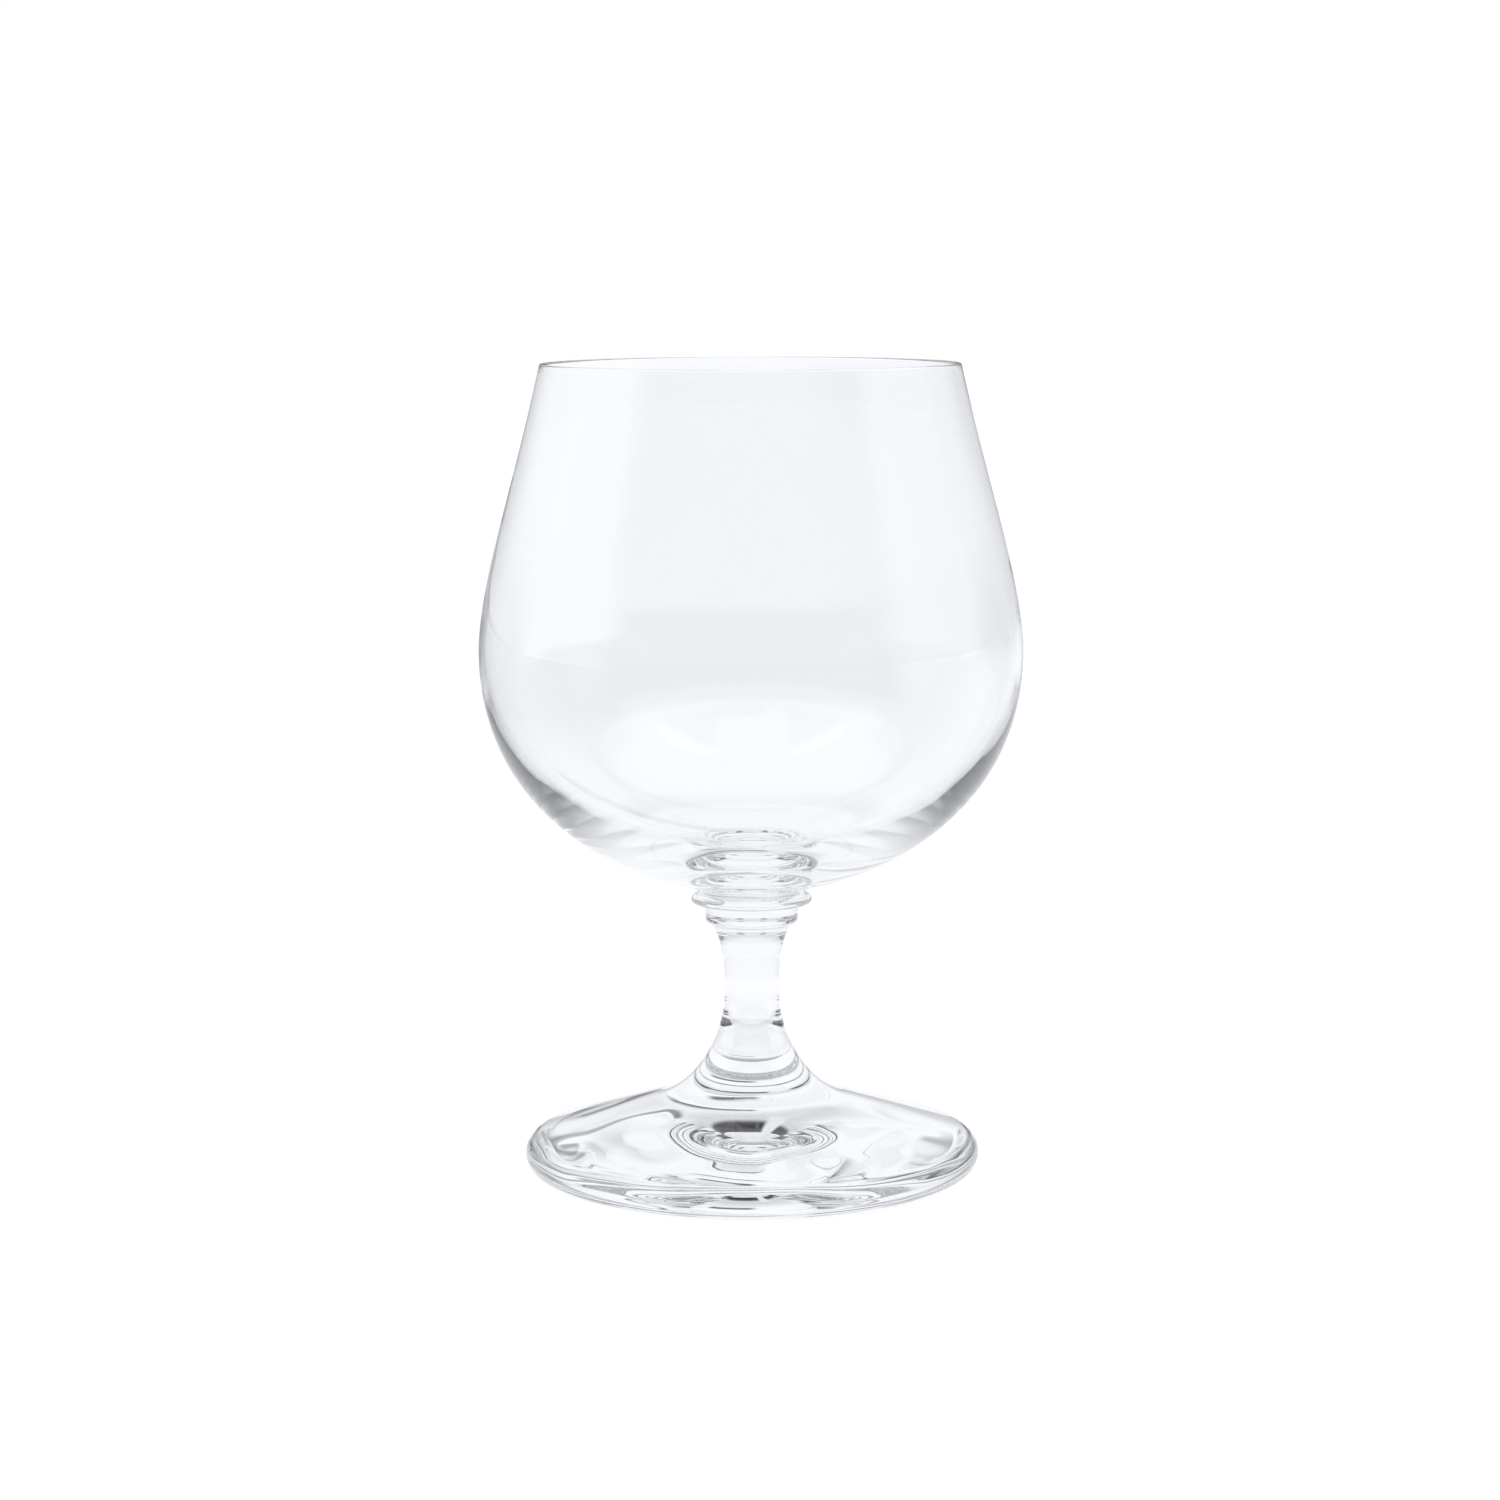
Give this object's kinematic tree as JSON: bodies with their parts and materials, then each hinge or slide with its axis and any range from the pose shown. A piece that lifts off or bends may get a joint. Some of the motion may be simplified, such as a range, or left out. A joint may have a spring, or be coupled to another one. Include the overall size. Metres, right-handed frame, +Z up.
{
  "type": "whisky glass",
  "caption": "Clear glass balloon-shaped drinking bowl on a ring collar, a short waisted stem and a round foot with a hollow underside; holds whisky or brandy.",
  "frame": {"origin": "on the axis of the glass, at the level of the surface that its foot stands on", "axes": "+Z up along the axis, from the foot to the mouth; the glass is round, so +X and +Y have no front"},
  "size_m": [0.0922, 0.0922, 0.138],
  "materials": {
    "clear_glass": "fire-polished clear colourless glass"
  },
  "bodies": {
    "root": {"foot": "clear_glass", "stem": "clear_glass", "collar": "clear_glass", "bowl": "clear_glass"}
  },
  "joints": []
}
